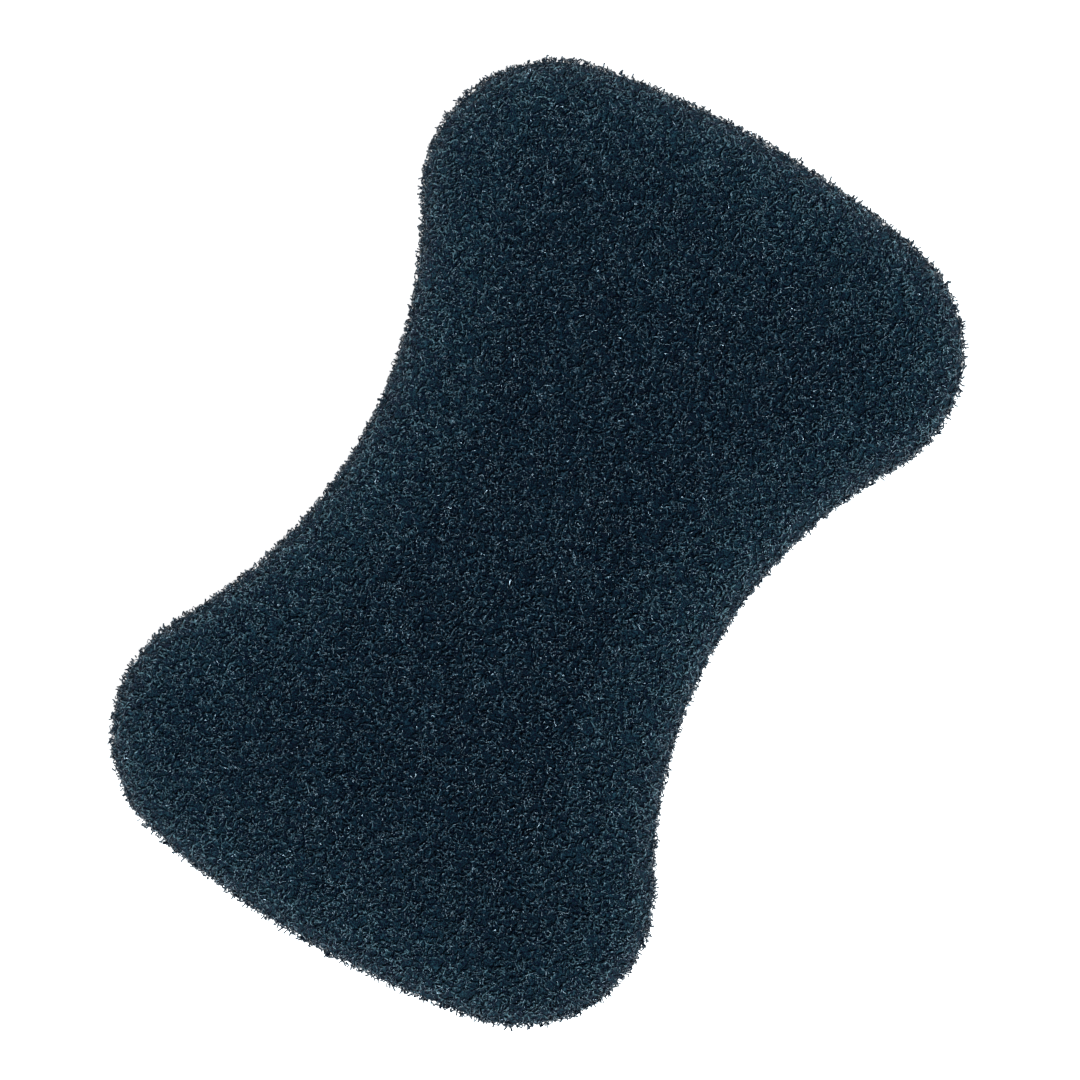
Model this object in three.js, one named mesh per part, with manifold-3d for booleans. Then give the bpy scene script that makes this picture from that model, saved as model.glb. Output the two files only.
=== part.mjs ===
import * as THREE from 'three';
import { mergeVertices } from 'three/addons/utils/BufferGeometryUtils.js';
import Module from 'manifold-3d';

// A hand scouring pad, die-cut in one piece from a lofty non-woven nylon web.
// Millimetres. +X runs along the pad, +Y across it and +Z up.
// The origin is the centre of the underside.

// Outline, seen from above
const padLength = 152;
const padWidth = 96.6;
const waistWidth = 68.4;
const cornerRadius = 22.3;
const endBowRadius = 160;

// Section, with the rims of both faces rolled over by the cut
const webThickness = 9;
const edgeRollWidth = 6.5;
const topEdgeDrop = 2;
const undersideEdgeLift = 0.9;

// Crimped strands, which meander over both faces and are bonded where they cross
const strandCount = 78;
const strandLength = 46;
const strandStep = 1;
const strandReach = 1.3;
const strandDraw = 0.7;
const strandUnevenness = 0.3;
const crimpLength = 21;
const crimpSwing = 1.75;

// The open web between the strands, with its gaps and broad lumps
const webPitch = 2.75;
const webRowPitch = (webPitch * Math.sqrt(3)) / 2;
const webWander = 0.7;
const gapLeastDepth = 0.6;
const gapGreatestDepth = 1.9;
const undersideGapDepth = 1.2;
const undersideFlatPatch = 7;
const lumpSize = 17;
const lumpHeight = 0.3;

// The cut edge, where strand ends stand out and gaps fall back
const cutEdgeSpacing = 3;
const cutEdgeStep = 2.3;
const cutEdgeRaggedness = 0.3;

// How far the uncut web and the cutting die reach past what they leave
const blankMargin = 8;
const dieMargin = 4;

// Steps from one strand's start to the next, which spread them evenly over a face
const spreadX = 0.7549;
const spreadY = 0.5698;
const goldenTurn = 2.39996;

// What is scattered over a face, each in its own way
const Scatter = { crimp: 1, wanderX: 2, wanderY: 3, depth: 4, lump: 5, cut: 6 };
const topFace = 0;
const underside = 10;

// Odd multipliers that mix three whole numbers into one
const mixA = 374761393;
const mixB = 668265263;
const mixC = 1274126177;
const wholeRange = 4294967296;

/** A repeatable scatter from 0 to 1 for the whole numbers a and b. */
function scatter(a, b, salt) {
  let mixed = Math.imul(a, mixA) ^ Math.imul(b, mixB) ^ Math.imul(salt, mixC);
  mixed = Math.imul(mixed ^ (mixed >>> 13), mixC);
  mixed = Math.imul(mixed ^ (mixed >>> 16), mixB);
  return ((mixed ^ (mixed >>> 15)) >>> 0) / wholeRange;
}

/** A scatter from -1 to 1. */
function scatterBothWays(a, b, salt) {
  return 2 * scatter(a, b, salt) - 1;
}

/** A smooth swell from -1 to 1 over the plane, with hills one size apart. */
function swell(x, y, size, salt) {
  const column = Math.floor(x / size);
  const row = Math.floor(y / size);
  const alongX = THREE.MathUtils.smoothstep(x / size - column, 0, 1);
  const alongY = THREE.MathUtils.smoothstep(y / size - row, 0, 1);
  const near = THREE.MathUtils.lerp(
    scatterBothWays(column, row, salt),
    scatterBothWays(column + 1, row, salt),
    alongX,
  );
  const far = THREE.MathUtils.lerp(
    scatterBothWays(column, row + 1, salt),
    scatterBothWays(column + 1, row + 1, salt),
    alongX,
  );
  return THREE.MathUtils.lerp(near, far, alongY);
}

/**
 * The hourglass outline as one chain of tangent arcs: a bowed end, a corner,
 * the hollow waist, a corner, and the same again on the other side.
 */
function padOutline() {
  const halfLength = padLength / 2;
  const halfWaist = waistWidth / 2;
  const cornerY = padWidth / 2 - cornerRadius;
  const bowCentreX = halfLength - endBowRadius;
  const cornerX = bowCentreX + Math.sqrt((endBowRadius - cornerRadius) ** 2 - cornerY ** 2);
  const waistRise = halfWaist - cornerY;
  const waistRadius = (cornerX ** 2 + waistRise ** 2 - cornerRadius ** 2) / (2 * (cornerRadius - waistRise));
  const waistCentreY = halfWaist + waistRadius;
  const bowAngle = Math.atan2(cornerY, cornerX - bowCentreX);
  const waistAngle = Math.atan2(cornerX, waistCentreY - cornerY);
  const quarter = Math.PI / 2;

  const outline = new THREE.Shape();
  outline.absarc(bowCentreX, 0, endBowRadius, -bowAngle, bowAngle, false);
  outline.absarc(cornerX, cornerY, cornerRadius, bowAngle, quarter + waistAngle, false);
  outline.absarc(0, waistCentreY, waistRadius, waistAngle - quarter, -quarter - waistAngle, true);
  outline.absarc(-cornerX, cornerY, cornerRadius, quarter - waistAngle, Math.PI - bowAngle, false);
  outline.absarc(-bowCentreX, 0, endBowRadius, Math.PI - bowAngle, Math.PI + bowAngle, false);
  outline.absarc(-cornerX, -cornerY, cornerRadius, Math.PI + bowAngle, -quarter + waistAngle, false);
  outline.absarc(0, -waistCentreY, waistRadius, quarter + waistAngle, quarter - waistAngle, true);
  outline.absarc(cornerX, -cornerY, cornerRadius, -quarter - waistAngle, -bowAngle, false);
  return outline;
}

/** Evenly spaced points along the outline, without the closing one. */
function outlineStations() {
  const outline = padOutline();
  const stations = outline.getSpacedPoints(Math.round(outline.getLength() / cutEdgeSpacing));
  stations.pop();
  return stations;
}

/** How far the rolled-over rim has fallen at a point, from 0 inside to 1 at the cut edge. */
function rimFall(place, stations) {
  const toEdge = nearestOf(stations, place).distanceTo(place);
  const intoRoll = THREE.MathUtils.clamp(1 - toEdge / edgeRollWidth, 0, 1);
  return 1 - Math.sqrt(1 - intoRoll ** 2);
}

/** The fraction of a number, spread from -1 to 1. */
function spreadBothWays(value) {
  return 2 * THREE.MathUtils.euclideanModulo(value, 1) - 1;
}

/**
 * The strands that lie over one face, as points a step apart. A strand's heading
 * swings to and fro as it goes, which gives the loops of a crimped filament.
 */
function meanderingStrands(face) {
  const points = [];
  const steps = Math.round(strandLength / strandStep);
  for (let strand = 0; strand < strandCount; strand++) {
    const crimpStart = Math.PI * scatterBothWays(strand, 0, face + Scatter.crimp);
    const point = new THREE.Vector2(
      (padLength / 2 + blankMargin) * spreadBothWays(spreadX * (strand + face)),
      (padWidth / 2 + blankMargin) * spreadBothWays(spreadY * (strand + face)),
    );
    for (let step = 0; step < steps; step++) {
      points.push(point.clone());
      const phase = crimpStart + (2 * Math.PI * step * strandStep) / crimpLength;
      const heading = goldenTurn * strand + crimpSwing * Math.sin(phase);
      point.x += strandStep * Math.cos(heading);
      point.y += strandStep * Math.sin(heading);
    }
  }
  return points;
}

/** The point of a list that lies nearest to a place. */
function nearestOf(points, place) {
  return points.reduce((best, point) => (
    point.distanceToSquared(place) < best.distanceToSquared(place) ? point : best
  ));
}

/** One point of the web's lattice, where it wanders to before a strand draws it in. */
function latticePlace(column, row, face) {
  const shift = THREE.MathUtils.euclideanModulo(row, 2) / 2;
  return new THREE.Vector2(
    (column + shift) * webPitch + webWander * scatterBothWays(column, row, face + Scatter.wanderX),
    row * webRowPitch + webWander * scatterBothWays(column, row, face + Scatter.wanderY),
  );
}

/** Height of the upper face: strands stand up from the mat and gaps open between them. */
function topHeight(place, onStrand, chance, stations) {
  const lump = lumpHeight * swell(place.x, place.y, lumpSize, Scatter.lump);
  const level = webThickness + lump - topEdgeDrop * rimFall(place, stations);
  return onStrand
    ? level - strandUnevenness * chance
    : level - THREE.MathUtils.lerp(gapLeastDepth, gapGreatestDepth, chance);
}

/** Height of the underside: strands pressed flat where they rest, with gaps left between them. */
function undersideHeight(place, onStrand, chance, stations) {
  const level = undersideEdgeLift * rimFall(place, stations);
  const pressed = onStrand || place.length() < undersideFlatPatch;
  return pressed ? level : level + undersideGapDepth * chance;
}

/** The laid web before cutting: a closed sheet with strands and gaps on both of its faces. */
function laidWeb(stations) {
  const columns = Math.ceil((padLength / 2 + blankMargin) / webPitch);
  const rows = Math.ceil((padWidth / 2 + blankMargin) / webRowPitch);
  const rowLength = 2 * columns + 1;
  const faceSize = rowLength * (2 * rows + 1);
  const positions = [];
  const faces = [];

  const layFace = (face, height) => {
    const strands = meanderingStrands(face);
    for (let row = -rows; row <= rows; row++) {
      for (let column = -columns; column <= columns; column++) {
        const place = latticePlace(column, row, face);
        const strand = nearestOf(strands, place);
        const onStrand = strand.distanceTo(place) < strandReach;
        if (onStrand) {
          place.lerp(strand, strandDraw);
        }
        const chance = scatter(column, row, face + Scatter.depth);
        positions.push(place.x, place.y, height(place, onStrand, chance, stations));
      }
    }
  };
  layFace(topFace, topHeight);
  layFace(underside, undersideHeight);

  const pointAt = (column, row) => (row + rows) * rowLength + column + columns;
  const addTriangle = (a, b, c) => {
    faces.push(a, b, c);
    faces.push(faceSize + a, faceSize + c, faceSize + b);
  };
  for (let row = -rows; row < rows; row++) {
    const shifted = THREE.MathUtils.euclideanModulo(row, 2) === 1;
    for (let column = -columns; column < columns; column++) {
      const nearLeft = pointAt(column, row);
      const nearRight = pointAt(column + 1, row);
      const farLeft = pointAt(column, row + 1);
      const farRight = pointAt(column + 1, row + 1);
      addTriangle(nearLeft, nearRight, shifted ? farRight : farLeft);
      addTriangle(shifted ? nearLeft : nearRight, farRight, farLeft);
    }
  }

  const closeSide = (from, to) => {
    faces.push(from, faceSize + from, faceSize + to);
    faces.push(from, faceSize + to, to);
  };
  for (let column = -columns; column < columns; column++) {
    closeSide(pointAt(column, -rows), pointAt(column + 1, -rows));
    closeSide(pointAt(column + 1, rows), pointAt(column, rows));
  }
  for (let row = -rows; row < rows; row++) {
    closeSide(pointAt(columns, row), pointAt(columns, row + 1));
    closeSide(pointAt(-columns, row + 1), pointAt(-columns, row));
  }

  const sheet = new THREE.BufferGeometry();
  sheet.setAttribute('position', new THREE.Float32BufferAttribute(positions, 3));
  sheet.setIndex(faces);
  return sheet;
}

/** What the die keeps: the outline as a prism whose walls are as ragged as cut strand ends. */
function dieCut(stations) {
  const depth = webThickness + 2 * dieMargin;
  const prism = positionsOnly(new THREE.ExtrudeGeometry(new THREE.Shape(stations), {
    depth,
    steps: Math.round(depth / cutEdgeStep),
    bevelEnabled: false,
  }));
  prism.translate(0, 0, -dieMargin);
  prism.computeVertexNormals();

  const points = prism.attributes.position;
  const outwards = new THREE.Vector3();
  for (let index = 0; index < points.count; index++) {
    outwards.fromBufferAttribute(prism.attributes.normal, index).setZ(0).normalize();
    outwards.multiplyScalar(cutEdgeRaggedness * scatterBothWays(index, 0, Scatter.cut));
    points.setXY(index, points.getX(index) + outwards.x, points.getY(index) + outwards.y);
  }
  return prism;
}

/** The same shape with its shared corners joined, so that it holds nothing but positions. */
function positionsOnly(geometry) {
  geometry.deleteAttribute('normal');
  geometry.deleteAttribute('uv');
  return mergeVertices(geometry);
}

const wasm = await Module();
wasm.setup();

/** A closed geometry as a solid that can be cut. */
function toSolid(geometry) {
  return new wasm.Manifold(new wasm.Mesh({
    numProp: 3,
    vertProperties: new Float32Array(geometry.attributes.position.array),
    triVerts: new Uint32Array(geometry.index.array),
  }));
}

/** A solid as a geometry with flat facets. */
function toGeometry(solid) {
  const mesh = solid.getMesh();
  const geometry = new THREE.BufferGeometry();
  geometry.setAttribute('position', new THREE.BufferAttribute(mesh.vertProperties, 3));
  geometry.setIndex(new THREE.BufferAttribute(mesh.triVerts, 1));
  geometry.computeVertexNormals();
  return geometry;
}

const darkNylon = new THREE.MeshStandardMaterial({
  color: 0x1b303c,
  roughness: 0.85,
  metalness: 0,
  flatShading: true,
});

const stations = outlineStations();
const scouringPad = new THREE.Mesh(
  toGeometry(toSolid(laidWeb(stations)).intersect(toSolid(dieCut(stations)))),
  darkNylon,
);
scouringPad.name = 'scouring_pad';

const part = new THREE.Group();
part.add(scouringPad);

export default part;
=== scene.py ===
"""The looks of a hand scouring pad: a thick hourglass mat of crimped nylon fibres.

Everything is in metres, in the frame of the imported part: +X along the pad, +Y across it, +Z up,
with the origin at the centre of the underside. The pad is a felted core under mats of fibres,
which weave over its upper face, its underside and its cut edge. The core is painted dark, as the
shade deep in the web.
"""

import logging
import math
from dataclasses import dataclass
from enum import Enum

import bpy
import numpy as np
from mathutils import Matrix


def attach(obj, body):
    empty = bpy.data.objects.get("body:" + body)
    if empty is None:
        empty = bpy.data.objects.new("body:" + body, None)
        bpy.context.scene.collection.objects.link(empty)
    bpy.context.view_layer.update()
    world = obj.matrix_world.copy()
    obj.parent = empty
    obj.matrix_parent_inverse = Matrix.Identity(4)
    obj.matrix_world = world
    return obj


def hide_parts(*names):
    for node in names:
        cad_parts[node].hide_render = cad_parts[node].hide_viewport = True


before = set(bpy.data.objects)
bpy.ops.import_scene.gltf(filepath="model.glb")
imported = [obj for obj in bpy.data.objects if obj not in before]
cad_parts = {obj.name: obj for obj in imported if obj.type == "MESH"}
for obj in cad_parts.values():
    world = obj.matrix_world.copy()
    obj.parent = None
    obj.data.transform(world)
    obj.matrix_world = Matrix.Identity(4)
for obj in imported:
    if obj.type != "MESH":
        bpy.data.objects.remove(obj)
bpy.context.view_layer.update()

Points = np.ndarray
Colour = tuple[float, float, float]
Span = tuple[float, float]

MM = 0.001
TINY = 1e-9
TURN = 2 * math.pi
ROOT_BODY = "root"
PAD_NODE = "scouring_pad"
FIBRE_TONE = "fibre_tone"
PAINTED_RIM_GLARE = "painted_rim_glare"
PAINTED_RIM_LIGHT = "painted_rim_light"
PAINTED_DEPTH_SHADE = "painted_depth_shade"

log = logging.getLogger("scouring_pad")


class Zone(Enum):
    """The part of the pad's surface that a mat of fibres covers."""

    UPPER_FACE = "upper_face"
    UNDERSIDE = "underside"
    CUT_EDGE = "cut_edge"


def unit(vectors: Points) -> Points:
    """Scales vectors to length one along their last axis."""
    return vectors / np.maximum(np.linalg.norm(vectors, axis=-1, keepdims=True), TINY)


@dataclass(frozen=True)
class PadOutline:
    """The hourglass outline, a chain of tangent arcs that is alike in all four quarters."""

    length: float = 152.0 * MM
    width: float = 96.6 * MM
    waist: float = 68.4 * MM
    corner_radius: float = 22.3 * MM
    bow_radius: float = 160.0 * MM
    box_share: float = 0.84
    halvings: int = 30

    @property
    def bow_centre(self) -> Points:
        """The centre of the bowed end's arc."""
        return np.array([self.length / 2 - self.bow_radius, 0.0])

    @property
    def corner_centre(self) -> Points:
        """The centre of the corner arc in the first quarter."""
        across = self.width / 2 - self.corner_radius
        reach = math.sqrt((self.bow_radius - self.corner_radius) ** 2 - across**2)
        return np.array([self.bow_centre[0] + reach, across])

    @property
    def waist_radius(self) -> float:
        """The radius of the hollow waist, which meets the corner arcs without a kink."""
        along, across = self.corner_centre
        rise = self.waist / 2 - across
        return (along**2 + rise**2 - self.corner_radius**2) / (2 * (self.corner_radius - rise))

    @property
    def waist_centre(self) -> Points:
        """The centre of the waist's arc, which lies outside the pad."""
        return np.array([0.0, self.waist / 2 + self.waist_radius])

    def distance(self, x: Points, y: Points) -> Points:
        """Distance to the outline in the plane.

        Args:
            x: Places along the pad.
            y: Places across the pad.

        Returns:
            The distance, negative inside the outline.
        """
        place = np.stack([np.abs(x), np.abs(y)], axis=-1)
        corner, bow, hollow = self.corner_centre, self.bow_centre, self.waist_centre
        from_bow, from_hollow = place - bow, place - hollow
        bow_side, hollow_side = corner - bow, corner - hollow
        by_bow = np.linalg.norm(from_bow, axis=-1) - self.bow_radius
        by_hollow = self.waist_radius - np.linalg.norm(from_hollow, axis=-1)
        by_corner = np.linalg.norm(place - corner, axis=-1) - self.corner_radius
        at_bow = bow_side[0] * from_bow[..., 1] < bow_side[1] * from_bow[..., 0]
        at_hollow = hollow_side[0] * from_hollow[..., 1] < hollow_side[1] * from_hollow[..., 0]
        distance = np.where(at_bow, by_bow, by_corner)
        return np.where(at_hollow & ~at_bow, by_hollow, distance)

    def stations(self, count: int, inset: float = 0.0) -> Points:
        """Points round the outline, found along rays from its centre.

        Args:
            count: How many points to find.
            inset: How far inside the outline they lie.

        Returns:
            An array of count rows of x and y, anticlockwise.
        """
        angles = np.linspace(0, TURN, count, endpoint=False)
        near, far = np.zeros(count), np.full(count, self.length)
        for _ in range(self.halvings):
            middle = (near + far) / 2
            inside = self.distance(middle * np.cos(angles), middle * np.sin(angles)) < -inset
            near, far = np.where(inside, middle, near), np.where(inside, far, middle)
        return np.stack([near * np.cos(angles), near * np.sin(angles)], axis=-1)

    def scattered(self, count: int, rng: np.random.Generator) -> Points:
        """Picks points on the outline, evenly by length.

        Args:
            count: How many points to pick.
            rng: The source of chance.

        Returns:
            An array of count rows of x and y.
        """
        around = self.stations(count * 2)
        spacing = np.linalg.norm(around - np.roll(around, 1, axis=0), axis=-1)
        return around[rng.choice(len(around), count, p=spacing / spacing.sum())]


@dataclass(frozen=True)
class PadForm:
    """The pad's solid form: the outline at its thickness, with both rims rolled over."""

    outline: PadOutline = PadOutline()
    thickness: float = 9.0 * MM
    roll_width: float = 6.5 * MM
    upper_roll: float = 2.0 * MM
    under_roll: float = 0.9 * MM
    lump_size: float = 13.0 * MM
    lump_stretch: Span = (0.7, 1.6)
    lump_height: float = 0.07 * MM
    lump_waves: int = 10
    lump_seed: int = 5
    probe: float = 0.02 * MM
    # Towards the cut edge the web is painted paler, as painted light from the white ground:
    # a narrow grey painted glare and a wide soft painted brightening.
    painted_glare_reach: float = 1.7 * MM
    painted_light_reach: float = 10.0 * MM
    # The outermost tips take none of this painted light and get the full painted depth shade,
    # so they stay dark against the white ground.
    bare_tips: float = 1.1 * MM
    bare_start: float = 0.25
    # Fibres are painted darker with their depth in the web, as painted shade, fully at this one.
    lit_depth: float = 1.1 * MM

    def level(self, points: Points) -> Points:
        """A smooth measure that is 0 on the surface and negative inside.

        Args:
            points: An array whose last axis holds x, y and z.

        Returns:
            The measure at each point.
        """
        height = points[..., 2] - self.thickness / 2
        roll = np.where(height > 0, self.upper_roll, self.under_roll)
        outwards = self.outline.distance(points[..., 0], points[..., 1]) / self.roll_width + 1
        upwards = (np.abs(height) - self.thickness / 2) / roll + 1
        rounded = np.hypot(np.maximum(outwards, 0), np.maximum(upwards, 0))
        return rounded + np.minimum(np.maximum(outwards, upwards), 0) - 1

    def slope(self, points: Points) -> Points:
        """How fast the level changes along each axis at each point."""
        steps = np.eye(3) * self.probe
        changes = [self.level(points + step) - self.level(points - step) for step in steps]
        return np.stack(changes, axis=-1) / (2 * self.probe)

    def normal(self, points: Points) -> Points:
        """The outward direction of the surface nearest to each point."""
        return unit(self.slope(points))

    def settle(self, points: Points, depth: Points | float, rounds: int = 3) -> Points:
        """Moves points to a depth under the surface.

        Args:
            points: The places to move.
            depth: How far under the surface each should lie.
            rounds: How often the move is repeated.

        Returns:
            The moved points.
        """
        for _ in range(rounds):
            slope = self.slope(points)
            steepness = np.maximum(np.linalg.norm(slope, axis=-1), TINY)
            gap = self.level(points) / steepness + depth
            points = points - slope * (gap / steepness)[..., None]
        return points

    def lumps(self, points: Points) -> Points:
        """How far the web sinks at each point, as the slight unevenness of a pressed mat."""
        rng = np.random.default_rng(self.lump_seed)
        total = np.zeros(points.shape[:-1])
        for _ in range(self.lump_waves):
            turn, phase = rng.uniform(0, TURN, 2)
            pace = TURN / (self.lump_size * rng.uniform(*self.lump_stretch))
            along = points[..., 0] * math.cos(turn) + points[..., 1] * math.sin(turn)
            total += np.sin(along * pace + phase)
        return total / math.sqrt(self.lump_waves) * self.lump_height

    def mark_rim(self, mesh: bpy.types.Mesh) -> None:
        """Stores on a mesh's points the painted rim light and depth shade, by nearness to the edge
        and depth.
        """
        places = np.empty(len(mesh.vertices) * 3, dtype=np.float32)
        mesh.vertices.foreach_get("co", places)
        places = places.reshape(-1, 3)
        inwards = -self.outline.distance(places[:, 0], places[:, 1])
        covered = np.clip(inwards / self.bare_tips - self.bare_start, 0, 1)
        steepness = np.maximum(np.linalg.norm(self.slope(places), axis=-1), TINY)
        shares = {
            PAINTED_DEPTH_SHADE: np.maximum(-self.level(places) / steepness / self.lit_depth, 1 - covered),
            PAINTED_RIM_GLARE: np.exp(-np.maximum(inwards, 0) / self.painted_glare_reach) * covered,
            PAINTED_RIM_LIGHT: np.exp(-np.maximum(inwards, 0) / self.painted_light_reach) * covered,
        }
        for name, share in shares.items():
            mark = mesh.attributes.new(name, "FLOAT", "POINT")
            mark.data.foreach_set("value", share.astype(np.float32))


@dataclass
class FibreSet:
    """A set of crimped nylon fibres, each a thin closed tube with three sides."""

    name: str
    form: PadForm
    count: int
    seed: int
    joints: int = 8
    step: float = 0.46 * MM
    thickness: float = 0.21 * MM
    thickness_spread: float = 0.2
    sides: int = 3

    def routes(self, rng: np.random.Generator) -> tuple[Points, Points]:
        """Lays out every fibre's middle line.

        Args:
            rng: The source of chance.

        Returns:
            The points of each fibre, and a direction aside from its run at each.
        """
        raise NotImplementedError

    def above_floor(self, places: Points) -> Points:
        """Lifts the places that a fibre would otherwise push through the floor."""
        lifted = places.copy()
        lifted[..., 2] = np.maximum(places[..., 2], self.thickness / 2)
        return lifted

    def tubes(self) -> tuple[Points, Points, Points, Points]:
        """Gives every route its round of corners.

        Returns:
            The vertices, the four-sided walls, the three-sided ends, and each vertex's fibre.
        """
        rng = np.random.default_rng(self.seed)
        route, aside = self.routes(rng)
        count, joints = route.shape[:2]
        along = unit(np.gradient(route, axis=1))
        across = unit(np.cross(along, aside))
        upright = np.cross(across, along)
        spread = rng.uniform(-1, 1, (count, 1)) * self.thickness_spread
        radius = self.thickness / 2 * (1 + spread)
        start = rng.uniform(0, TURN, (count, 1))
        corners = []
        for side in range(self.sides):
            angle = start + TURN * side / self.sides
            level = across * (radius * np.cos(angle))[..., None]
            corners.append(route + level + upright * (radius * np.sin(angle))[..., None])
        vertices = np.stack(corners, axis=2).reshape(-1, 3)
        own = np.arange(count * joints * self.sides).reshape(count, joints, self.sides)
        after = np.roll(own, -1, axis=2)
        walls = np.stack([own[:, :-1], own[:, 1:], after[:, 1:], after[:, :-1]], axis=-1)
        ends = np.concatenate([own[:, 0], own[:, -1][:, ::-1]])
        fibre = np.repeat(np.arange(count), joints * self.sides)
        return vertices, walls.reshape(-1, 4), ends, fibre

    def build(self) -> bpy.types.Object:
        """Makes the set's object, with each fibre's own tone stored on its points.

        Returns:
            The object, which holds no material yet.
        """
        vertices, walls, ends, fibre = self.tubes()
        corners = np.concatenate([walls.ravel(), ends.ravel()])
        starts = [np.arange(0, walls.size, 4), np.arange(walls.size, corners.size, 3)]
        faces = len(walls) + len(ends)
        mesh = bpy.data.meshes.new(self.name)
        mesh.vertices.add(len(vertices))
        mesh.vertices.foreach_set("co", vertices.astype(np.float32).ravel())
        mesh.loops.add(corners.size)
        mesh.loops.foreach_set("vertex_index", corners.astype(np.int32))
        mesh.polygons.add(faces)
        mesh.polygons.foreach_set("loop_start", np.concatenate(starts).astype(np.int32))
        mesh.polygons.foreach_set("use_smooth", np.ones(faces, dtype=bool))
        mesh.update(calc_edges=True)
        rng = np.random.default_rng(self.seed + 1)
        tones = rng.uniform(0, 1, fibre.max() + 1)[fibre]
        tone = mesh.attributes.new(FIBRE_TONE, "FLOAT", "POINT")
        tone.data.foreach_set("value", tones.astype(np.float32))
        self.form.mark_rim(mesh)
        piece = bpy.data.objects.new(self.name, mesh)
        bpy.context.scene.collection.objects.link(piece)
        return piece


@dataclass
class WovenMat(FibreSet):
    """Fibres that wander over one zone of the pad and weave in and out of its surface."""

    zone: Zone = Zone.UPPER_FACE
    depth: Span = (0.25 * MM, 0.85 * MM)
    weave: Span = (0.2 * MM, 0.45 * MM)
    weave_length: Span = (1.7 * MM, 3.2 * MM)
    # Both ends of a fibre dive under its middle, so that they are lost in the web.
    dive: float = 0.4 * MM
    # The curl is a turn per length. It is drawn anew at each joint but keeps a share of the last.
    curl: float = 2.3 / MM
    curl_memory: float = 0.35

    def start_places(self, rng: np.random.Generator) -> Points:
        """Scatters the fibres' first points evenly over the mat's zone."""
        outline, form = self.form.outline, self.form
        if self.zone is Zone.CUT_EDGE:
            around = outline.scattered(self.count, rng)
            heights = rng.uniform(form.under_roll, form.thickness - form.upper_roll, self.count)
            return np.column_stack([around, heights])
        cell = math.sqrt(outline.length * outline.width * outline.box_share / self.count)
        rows = np.arange(-outline.length / 2, outline.length / 2, cell)
        columns = np.arange(-outline.width / 2, outline.width / 2, cell)
        grid = np.stack(np.meshgrid(rows, columns), axis=-1).reshape(-1, 2)
        grid += rng.uniform(0, cell, grid.shape)
        kept = grid[outline.distance(grid[:, 0], grid[:, 1]) < 0]
        level = form.thickness if self.zone is Zone.UPPER_FACE else 0.0
        return np.column_stack([kept, np.full(len(kept), level)])

    def routes(self, rng: np.random.Generator) -> tuple[Points, Points]:
        """Walks every fibre over the surface at once, curling as it goes."""
        places = self.start_places(rng)
        count = len(places)
        base = rng.uniform(*self.depth, count)
        weave = rng.uniform(*self.weave, (2, count))
        pace = TURN / rng.uniform(*self.weave_length, (2, count))
        phase = rng.uniform(0, TURN, (2, count))
        curl = rng.normal(0, self.curl, count)
        fresh = math.sqrt(1 - self.curl_memory**2)
        heading = rng.normal(size=(count, 3))
        route, outward = [], []
        for joint in range(self.joints):
            wave = np.sum(weave * np.sin(phase + pace * joint * self.step), axis=0)
            wave += self.dive * (2 * joint / (self.joints - 1) - 1) ** 4
            depth = base + wave + self.form.lumps(places)
            places = self.form.settle(places, 0.0)
            normals = self.form.normal(places)
            route.append(self.above_floor(places - normals * depth[:, None]))
            outward.append(normals)
            heading = unit(heading - normals * np.sum(heading * normals, axis=-1, keepdims=True))
            sideways = np.cross(normals, heading)
            turn = (curl * self.step)[:, None]
            heading = heading * np.cos(turn) + sideways * np.sin(turn)
            places = places + heading * self.step
            curl = curl * self.curl_memory + rng.normal(0, self.curl, count) * fresh
        return np.stack(route, axis=1), np.stack(outward, axis=1)


@dataclass
class CutEnds(FibreSet):
    """The short ends that the die leaves standing out all round the cut edge."""

    joints: int = 4
    step: float = 0.3 * MM
    thickness: float = 0.3 * MM
    depth: Span = (0.10 * MM, 0.75 * MM)
    # The hollow waist has the calmest edge, so there the ends start this much deeper.
    waist_depth: float = 0.3 * MM
    waist_reach: float = 32.0 * MM
    floor_gap: float = 0.3 * MM
    top_gap: float = 0.2 * MM
    spread: float = 1.3
    curl: float = 3.4 / MM

    def routes(self, rng: np.random.Generator) -> tuple[Points, Points]:
        """Sends every end outwards from under the edge in its own bend, less at the waist."""
        form = self.form
        heights = rng.uniform(self.floor_gap, form.thickness - self.top_gap, self.count)
        around = np.column_stack([form.outline.scattered(self.count, rng), heights])
        calm = np.exp(-((around[:, 0] / self.waist_reach) ** 2)) * self.waist_depth
        places = form.settle(around, rng.uniform(*self.depth, self.count) + calm)
        heading = unit(form.normal(places) + rng.normal(0, self.spread, places.shape))
        pivot = unit(np.cross(heading, rng.normal(size=places.shape)))
        turn = (rng.normal(0, self.curl, self.count) * self.step)[:, None]
        route = []
        for _ in range(self.joints):
            route.append(self.above_floor(places))
            places = places + heading * self.step
            heading = heading * np.cos(turn) + np.cross(pivot, heading) * np.sin(turn)
        return np.stack(route, axis=1), np.repeat(pivot[:, None], self.joints, axis=1)


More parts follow.
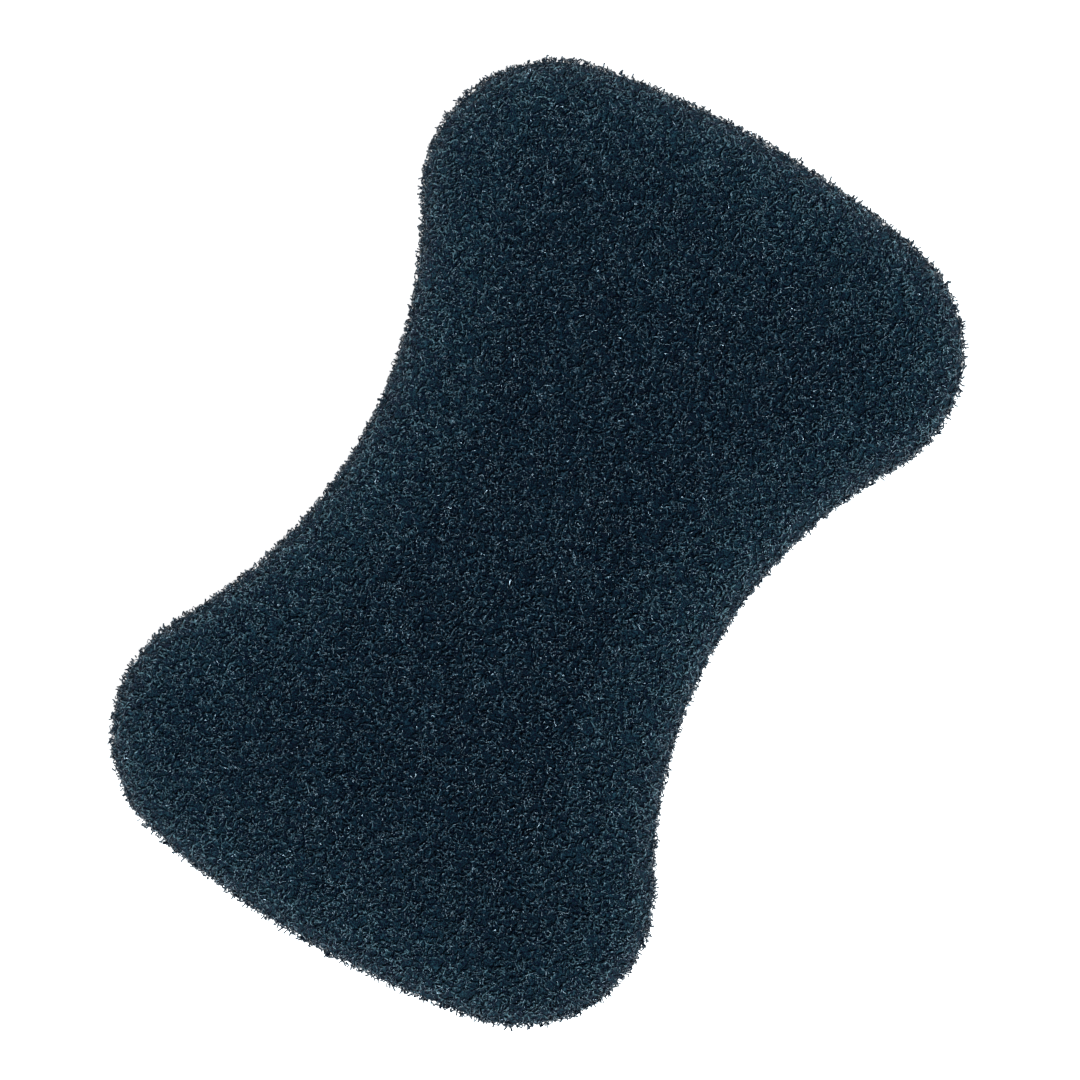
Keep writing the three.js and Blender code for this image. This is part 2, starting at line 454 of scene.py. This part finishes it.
@dataclass
class FeltedCore:
    """The dense inside of the web, which shows between the fibres, painted dark as the shade deep
    in it.
    """

    form: PadForm
    name: str = "felted_core"
    stations: int = 240
    grid: float = 1.4 * MM
    depth: float = 1.35 * MM
    # Where the core's skin faces sideways, it keeps only this share of its depth.
    edge_share: float = 0.5
    roughness: float = 0.25 * MM
    seed: int = 9

    def build(self) -> bpy.types.Object:
        """Models the core from a disc, pushed to the pad's form and left uneven.

        Returns:
            The object, which holds no material yet.
        """
        bpy.ops.object.select_all(action="DESELECT")
        bpy.ops.mesh.primitive_circle_add(
            vertices=self.stations,
            radius=self.form.outline.length / 2,
            fill_type="NGON",
            location=(0, 0, 0),
        )
        core = bpy.context.object
        core.name = core.data.name = self.name
        bpy.ops.object.mode_set(mode="EDIT")
        bpy.ops.mesh.select_all(action="SELECT")
        rise = {"value": (0, 0, self.form.thickness)}
        bpy.ops.mesh.extrude_region_move(TRANSFORM_OT_translate=rise)
        bpy.ops.object.mode_set(mode="OBJECT")
        around = self.form.outline.stations(self.stations, self.depth)
        for vertex, place in zip(core.data.vertices, np.concatenate([around, around])):
            vertex.co.x, vertex.co.y = place
        remesh = core.modifiers.new("even_grid", "REMESH")
        remesh.mode = "VOXEL"
        remesh.voxel_size = self.grid
        bpy.ops.object.modifier_apply(modifier=remesh.name)
        self.push_to_form(core)
        bpy.ops.object.shade_smooth()
        self.form.mark_rim(core.data)
        return core

    def push_to_form(self, core: bpy.types.Object) -> None:
        """Moves the core's skin to its uneven depth under the pad's form, less deep at the edge."""
        places = np.empty(len(core.data.vertices) * 3)
        core.data.vertices.foreach_get("co", places)
        places = places.reshape(-1, 3)
        rng = np.random.default_rng(self.seed)
        depth = self.depth + self.form.lumps(places)
        depth += rng.uniform(-1, 1, len(places)) * self.roughness
        skin = self.form.settle(places, 0.0)
        normals = self.form.normal(skin)
        depth *= self.edge_share + (1 - self.edge_share) * np.abs(normals[:, 2])
        settled = skin - normals * depth[:, None]
        core.data.vertices.foreach_set("co", settled.ravel())
        core.data.update()


class NodeSheet:
    """A short way to add and join the nodes of one material."""

    def __init__(self, name: str) -> None:
        """Starts a material that holds only its shader and output."""
        self.material = bpy.data.materials.new(name)
        self.material.use_nodes = True
        self.tree = self.material.node_tree
        self.shader = self.tree.nodes["Principled BSDF"]

    def add(self, kind: str, **settings: object) -> bpy.types.Node:
        """Adds a node and sets its own properties."""
        node = self.tree.nodes.new(kind)
        for key, value in settings.items():
            setattr(node, key, value)
        return node

    def feed(self, value: object, target: bpy.types.NodeSocket) -> None:
        """Joins a socket to another, or sets it to a number, vector or colour."""
        if isinstance(value, bpy.types.NodeSocket):
            self.tree.links.new(value, target)
        elif isinstance(value, tuple) and target.type == "RGBA":
            target.default_value = (*value, 1)
        else:
            target.default_value = value

    def mix(self, share: object, first: object, second: object) -> bpy.types.NodeSocket:
        """Mixes two colours.

        Args:
            share: A socket or number that says how much of the second shows.
            first: A colour or a socket.
            second: A colour or a socket.

        Returns:
            The socket that holds the mixed colour.
        """
        node = self.add("ShaderNodeMix", data_type="RGBA")
        for value, place in ((share, 0), (first, 6), (second, 7)):
            self.feed(value, node.inputs[place])
        return node.outputs[2]

    def sum(self, value: object, factor: object, extra: object) -> bpy.types.NodeSocket:
        """Multiplies a number by a factor and adds an extra to it."""
        node = self.add("ShaderNodeMath", operation="MULTIPLY_ADD")
        for place, part in enumerate((value, factor, extra)):
            self.feed(part, node.inputs[place])
        return node.outputs[0]

    def blend(self, mode: str, first: object, second: object) -> bpy.types.NodeSocket:
        """Multiplies or adds two colours, by the name of the vector operation."""
        node = self.add("ShaderNodeVectorMath", operation=mode)
        self.feed(first, node.inputs[0])
        self.feed(second, node.inputs[1])
        return node.outputs[0]

    def ramp(self, source: object, low: float, high: float) -> bpy.types.NodeSocket:
        """Maps the stretch from low to high of a value to 0 to 1."""
        node = self.add("ShaderNodeMapRange")
        node.inputs["From Min"].default_value = low
        node.inputs["From Max"].default_value = high
        self.feed(source, node.inputs["Value"])
        return node.outputs["Result"]

    def mark(self, name: str) -> bpy.types.NodeSocket:
        """Reads a number that is stored on the piece's points."""
        return self.add("ShaderNodeAttribute", attribute_name=name).outputs["Fac"]

    def place(self) -> bpy.types.NodeSocket:
        """The object's own coordinates."""
        return self.add("ShaderNodeTexCoord").outputs["Object"]

    def noise(self, size: float) -> bpy.types.Node:
        """A smooth noise on the object's own coordinates, with lumps of about one size."""
        node = self.add("ShaderNodeTexNoise")
        node.inputs["Scale"].default_value = 1 / size
        self.feed(self.place(), node.inputs["Vector"])
        return node

    def at_rim(self, colour: object, painted_light_gain: Colour, painted_glare: Colour) -> bpy.types.NodeSocket:
        """Lightens a colour towards the pad's cut edge, as painted light from the white ground.

        Args:
            colour: A colour or a socket.
            painted_light_gain: How much brighter each channel is at the edge, fading over the whole
                pad.
            painted_glare: A colour that is added close to the edge.

        Returns:
            The socket that holds the lightened colour.
        """
        brighter = self.blend("ADD", self.blend("MULTIPLY", self.mark(PAINTED_RIM_LIGHT), painted_light_gain), (1, 1, 1))
        with_painted_light = self.blend("MULTIPLY", colour, brighter)
        return self.blend("ADD", with_painted_light, self.blend("MULTIPLY", self.mark(PAINTED_RIM_GLARE), painted_glare))


@dataclass(frozen=True)
class FibreFinish:
    """Dull navy nylon, uneven from fibre to fibre, with small glints where it bends."""

    dark: Colour = (0.0007, 0.0034, 0.0120)
    light: Colour = (0.028, 0.074, 0.106)
    # These two are painted light at the edge: bounce light and glare from the white ground.
    painted_light_gain: Colour = (2.7, 1.85, 1.3)
    painted_glare: Colour = (0.040, 0.040, 0.042)
    # A drifting noise and the fibre's own tone say how light each place is; its depth darkens it as
    # painted shade.
    drift_size: float = 0.42 * MM
    drift_share: float = 3.8
    drift_offset: float = -1.53
    drift_span: Span = (0.35, 0.65)
    fibre_share: float = 0.3
    depth_shade_share: float = -0.8
    smooth: float = 0.10
    rough: float = 0.42
    specular: float = 0.9
    tint: Colour = (0.68, 0.87, 1.0)

    def make(self) -> bpy.types.Material:
        """Builds the material.

        Returns:
            The material for the mats of fibres.
        """
        sheet = NodeSheet("navy_nylon_fibre")
        drift = sheet.noise(self.drift_size).outputs["Fac"]
        drifting = sheet.sum(drift, self.drift_share, self.drift_offset)
        patchy = sheet.sum(sheet.mark(FIBRE_TONE), self.fibre_share, drifting)
        tone = sheet.sum(sheet.mark(PAINTED_DEPTH_SHADE), self.depth_shade_share, patchy)
        # This colour already carries the painted depth shade.
        own = sheet.mix(tone, self.dark, self.light)
        colour = sheet.at_rim(own, self.painted_light_gain, self.painted_glare)
        sheet.feed(colour, sheet.shader.inputs["Base Color"])
        uneven = sheet.ramp(drift, *self.drift_span)
        rough = sheet.sum(uneven, self.rough - self.smooth, self.smooth)
        sheet.feed(rough, sheet.shader.inputs["Roughness"])
        sheet.shader.inputs["Specular IOR Level"].default_value = self.specular
        sheet.shader.inputs["Specular Tint"].default_value = (*self.tint, 1)
        return sheet.material


@dataclass(frozen=True)
class CoreFinish:
    """The shaded inside of the web, painted near black as shade, with the paler threads of deeper
    fibres.
    """

    # The gap colour is painted shade, the dark deep in the web between the threads.
    gap: Colour = (0.0006, 0.0029, 0.011)
    thread: Colour = (0.006, 0.025, 0.043)
    # These two are painted light at the edge: bounce light and glare from the white ground.
    painted_light_gain: Colour = (2.9, 1.85, 1.3)
    painted_glare: Colour = (0.032, 0.034, 0.036)
    thread_size: float = 0.42 * MM
    thread_span: Span = (0.2, 0.04)
    thread_height: float = 0.3 * MM
    drift_size: float = 1.2 * MM
    drift: float = 0.5 * MM
    roughness: float = 0.7
    specular: float = 0.05

    def make(self) -> bpy.types.Material:
        """Builds the material.

        Returns:
            The material for the felted core.
        """
        sheet = NodeSheet("shaded_web")
        drift = sheet.noise(self.drift_size).outputs["Color"]
        shift = sheet.add("ShaderNodeVectorMath", operation="MULTIPLY_ADD")
        for value, target in zip((drift, (self.drift,) * 3, sheet.place()), shift.inputs):
            sheet.feed(value, target)
        cells = sheet.add("ShaderNodeTexVoronoi", feature="DISTANCE_TO_EDGE")
        cells.inputs["Scale"].default_value = 1 / self.thread_size
        sheet.feed(shift.outputs[0], cells.inputs["Vector"])
        thread = sheet.ramp(cells.outputs["Distance"], *self.thread_span)
        colour = sheet.at_rim(sheet.mix(thread, self.gap, self.thread), self.painted_light_gain, self.painted_glare)
        sheet.feed(colour, sheet.shader.inputs["Base Color"])
        bump = sheet.add("ShaderNodeBump")
        bump.inputs["Distance"].default_value = self.thread_height
        sheet.feed(thread, bump.inputs["Height"])
        sheet.feed(bump.outputs["Normal"], sheet.shader.inputs["Normal"])
        sheet.shader.inputs["Roughness"].default_value = self.roughness
        sheet.shader.inputs["Specular IOR Level"].default_value = self.specular
        return sheet.material


@dataclass
class ScouringPad:
    """The whole pad: its core and the sets of fibres that cover it."""

    form: PadForm

    def fibre_sets(self) -> list[FibreSet]:
        """The sets of fibres, sized so that each stays a light mesh."""
        form = self.form
        return [
            WovenMat("upper_fibres_1", form, count=4200, seed=10),
            WovenMat("upper_fibres_2", form, count=4200, seed=20),
            WovenMat("upper_fibres_3", form, count=4200, seed=25),
            WovenMat(
                "deep_fibres",
                form,
                count=4000,
                seed=30,
                step=0.7 * MM,
                thickness=0.34 * MM,
                depth=(0.8 * MM, 1.3 * MM),
            ),
            WovenMat(
                "underside_fibres",
                form,
                count=2300,
                seed=40,
                step=0.9 * MM,
                zone=Zone.UNDERSIDE,
            ),
            WovenMat(
                "edge_fibres",
                form,
                count=1600,
                seed=50,
                zone=Zone.CUT_EDGE,
                depth=(0.4 * MM, 0.9 * MM),
            ),
            CutEnds("cut_ends", form, count=2900, seed=60),
        ]

    def build(self) -> None:
        """Makes every piece, dresses it and seats it on the pad."""
        fibre = FibreFinish().make()
        core = FeltedCore(self.form).build()
        core.data.materials.append(CoreFinish().make())
        self.seat(core)
        for fibres in self.fibre_sets():
            piece = fibres.build()
            piece.data.materials.append(fibre)
            self.seat(piece)

    def seat(self, piece: bpy.types.Object) -> None:
        """Declares a piece as part of the soft pad and reports it."""
        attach(piece, ROOT_BODY)
        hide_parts(PAD_NODE)
        faces = sum(len(face.vertices) - 2 for face in piece.data.polygons)
        log.info("%s: %d triangles", piece.name, faces)


@dataclass
class Studio:
    """A white floor, soft light and a camera that looks straight down on the pad."""

    pad_height: float
    frame_pixels: float = 1080.0
    pixels_per_mm: float = 6.074
    pad_pixel: tuple[float, float] = (538.0, 543.0)
    pad_turn: float = math.radians(60.16)
    lens: float = 200.0
    sensor: float = 36.0
    floor_size: float = 3.0
    floor_drop: float = 0.05 * MM
    floor_colour: Colour = (0.95, 0.95, 0.95)
    floor_roughness: float = 0.9
    floor_glow: float = 1.0
    room_strength: float = 0.10
    lamp_strength: float = 4.2
    lamp_spread: float = math.radians(10)
    lamp_lean: float = math.radians(14)
    lamp_colour: Colour = (0.84, 0.95, 1.0)

    def floor(self) -> None:
        """Lays the white floor that the pad rests on."""
        bpy.ops.object.select_all(action="DESELECT")
        bpy.ops.mesh.primitive_plane_add(size=self.floor_size, location=(0, 0, -self.floor_drop))
        floor = bpy.context.object
        floor.name = "studio_floor"
        sheet = NodeSheet("white_floor")
        sheet.shader.inputs["Base Color"].default_value = (*self.floor_colour, 1)
        sheet.shader.inputs["Roughness"].default_value = self.floor_roughness
        sheet.shader.inputs["Emission Color"].default_value = (1, 1, 1, 1)
        sheet.shader.inputs["Emission Strength"].default_value = self.floor_glow
        floor.data.materials.append(sheet.material)

    def lights(self) -> None:
        """Sets the room's soft light and one broad lamp high above the pad."""
        world = bpy.data.worlds.new("soft_room")
        bpy.context.scene.world = world
        world.use_nodes = True
        room = world.node_tree.nodes["Background"]
        room.inputs["Color"].default_value = (1, 1, 1, 1)
        room.inputs["Strength"].default_value = self.room_strength
        key = bpy.data.lights.new("overhead_lamp", "SUN")
        key.energy = self.lamp_strength
        key.angle = self.lamp_spread
        key.color = self.lamp_colour
        lamp = bpy.data.objects.new("overhead_lamp", key)
        lamp.rotation_euler = (self.lamp_lean, -self.lamp_lean / 2, 0)
        bpy.context.scene.collection.objects.link(lamp)

    def camera(self) -> None:
        """Hangs the camera over the pad, turned as in the photograph."""
        view = bpy.data.cameras.new("overhead_camera")
        view.lens = self.lens
        view.sensor_width = self.sensor
        camera = bpy.data.objects.new("overhead_camera", view)
        bpy.context.scene.collection.objects.link(camera)
        span = self.frame_pixels / self.pixels_per_mm * MM
        distance = span * self.lens / self.sensor
        turn = -self.pad_turn
        right = np.array([math.cos(turn), math.sin(turn)])
        up = np.array([-math.sin(turn), math.cos(turn)])
        middle = self.frame_pixels / 2
        aside = (middle - self.pad_pixel[0]) / self.pixels_per_mm * MM
        above = (self.pad_pixel[1] - middle) / self.pixels_per_mm * MM
        aim = right * aside + up * above
        camera.location = (*aim, self.pad_height + distance)
        camera.rotation_euler = (0, 0, turn)
        view.clip_start = distance / 10
        view.clip_end = distance * 10
        bpy.context.scene.camera = camera

    def build(self) -> None:
        """Sets up the whole studio, with colours shown as they are lit."""
        self.floor()
        self.lights()
        self.camera()
        bpy.context.scene.view_settings.view_transform = "Standard"


def main() -> None:
    """Builds the pad and its studio, logging the triangle count of each piece of the pad."""
    logging.basicConfig(level=logging.INFO, format="%(message)s")
    form = PadForm()
    ScouringPad(form).build()
    Studio(pad_height=form.thickness / 2).build()


if __name__ == "__main__":
    main()
